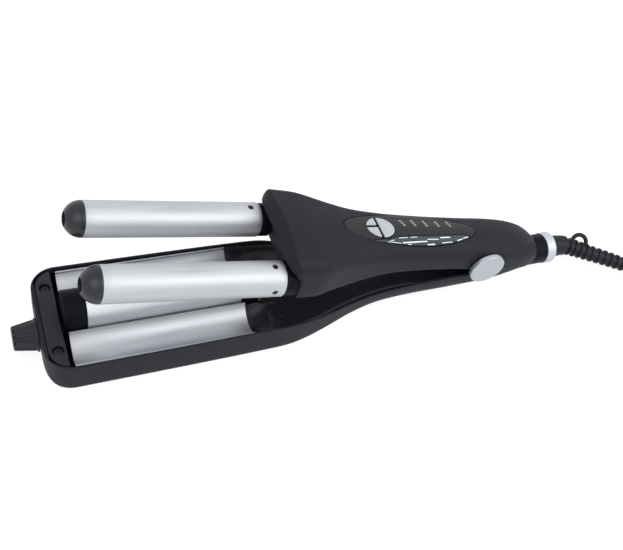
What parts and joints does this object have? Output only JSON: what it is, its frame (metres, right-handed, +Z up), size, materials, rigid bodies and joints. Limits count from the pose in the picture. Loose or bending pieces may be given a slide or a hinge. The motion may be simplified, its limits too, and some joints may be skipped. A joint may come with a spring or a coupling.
{
  "type": "hair waver",
  "caption": "Hair waver with barrels on a spring-opened upper jaw, troughs and a liftable middle barrel below, a knob that adjusts wave depth, and a swivel cord.",
  "frame": {"origin": "middle of the tool's underside, without its cord; the underside lies in z = 0", "axes": "+X towards the cord, +Y to the side away from the large pivot cap, +Z up, with the upper jaw above the lower one"},
  "size_m": [0.5497, 0.0882, 0.0806],
  "materials": {
    "housing": "fine matt, charcoal",
    "cap_black": "satin black",
    "cover_black": "matt black",
    "aluminium": "satin",
    "silver_plastic": "silver lacquer",
    "bright_ring": "satin chrome",
    "panel": "fine matt",
    "window": "tinted clear",
    "segments": "white print",
    "heater": "grey ceramic",
    "carrier": "heat-resistant plastic",
    "steel": "plain",
    "screw_black": "black oxide",
    "board": "solder mask",
    "switch": "black",
    "rubber": "satin",
    "wire": "silicone"
  },
  "bodies": {
    "base": {"lower_housing": "housing", "front_cover": "cap_black", "cover_screws": "screw_black", "channel_plate_left": "aluminium", "channel_plate_right": "aluminium", "plate_heater_left": "heater", "plate_heater_right": "heater", "plate_carriers": "carrier", "shaft_bearing": "carrier", "inner_cover": "cover_black", "inner_cover_screws": "screw_black", "neck_socket": "cap_black", "neck_ring": "bright_ring", "hinge_pin": "steel", "hinge_spring": "steel", "pivot_cap": "silver_plastic", "pin_head": "steel", "lower_wiring": "wire"},
    "upper_jaw": {"upper_shell": "housing", "upper_inner_cover": "cover_black", "barrel_left": "aluminium", "barrel_right": "aluminium", "barrel_cap_left": "cap_black", "barrel_cap_right": "cap_black", "cap_screws": "steel", "barrel_collars": "cap_black", "root_screws": "screw_black", "barrel_cores": "heater", "control_panel": "panel", "display_window": "window", "display_bars": "segments", "circuit_board": "board", "tact_switches": "switch"},
    "power_key": {"power_button": "silver_plastic"},
    "heat_up_key": {"heat_up_button": "silver_plastic"},
    "heat_down_key": {"heat_down_button": "silver_plastic"},
    "adjuster": {"cam_shaft": "steel", "adjuster_knob": "cap_black", "shaft_clip": "steel"},
    "centre": {"centre_barrel": "aluminium", "centre_cap_front": "cap_black", "centre_cap_rear": "cap_black", "lift_carriage": "carrier", "centre_core": "heater"},
    "cord": {"swivel_flange": "cap_black", "strain_relief": "rubber", "power_cord": "rubber", "cord_coil": "rubber", "cord_tie": "cover_black", "cord_tail": "rubber", "mains_plug": "rubber", "plug_pins": "steel"}
  },
  "joints": [
    {"name": "jaw_hinge", "type": "hinge", "parent": "base", "child": "upper_jaw", "pos_m": [0.07283, 0, 0.026], "axis": [0, 1, 0], "range_deg": [-11, 0], "stiffness_Nm_per_rad": 0.9, "springref_deg": 20.05},
    {"name": "power_press", "type": "slide", "parent": "upper_jaw", "child": "power_key", "axis": [-0.1908, 0, -0.9816], "range_m": [0, 0.0006], "stiffness_N_per_m": 600, "springref_m": -0.0006},
    {"name": "heat_up_press", "type": "slide", "parent": "upper_jaw", "child": "heat_up_key", "axis": [-0.1908, 0, -0.9816], "range_m": [0, 0.0006], "stiffness_N_per_m": 600, "springref_m": -0.0006},
    {"name": "heat_down_press", "type": "slide", "parent": "upper_jaw", "child": "heat_down_key", "axis": [-0.1908, 0, -0.9816], "range_m": [0, 0.0006], "stiffness_N_per_m": 600, "springref_m": -0.0006},
    {"name": "knob_turn", "type": "hinge", "parent": "base", "child": "adjuster", "pos_m": [-0.17167, 0, 0.0095], "axis": [1, 0, 0], "range_deg": [-1, 181]},
    {"name": "centre_lift", "type": "slide", "parent": "base", "child": "centre", "axis": [0, 0, 1], "range_m": [-0.0045, 0]},
    {"name": "cord_swivel", "type": "hinge", "parent": "base", "child": "cord", "pos_m": [0.12833, 0, 0.0116], "axis": [1, 0, 0], "continuous": true}
  ],
  "couplings": [
    {"joint": "knob_turn", "follows": "centre_lift", "rad_per_m": -698.13}
  ]
}
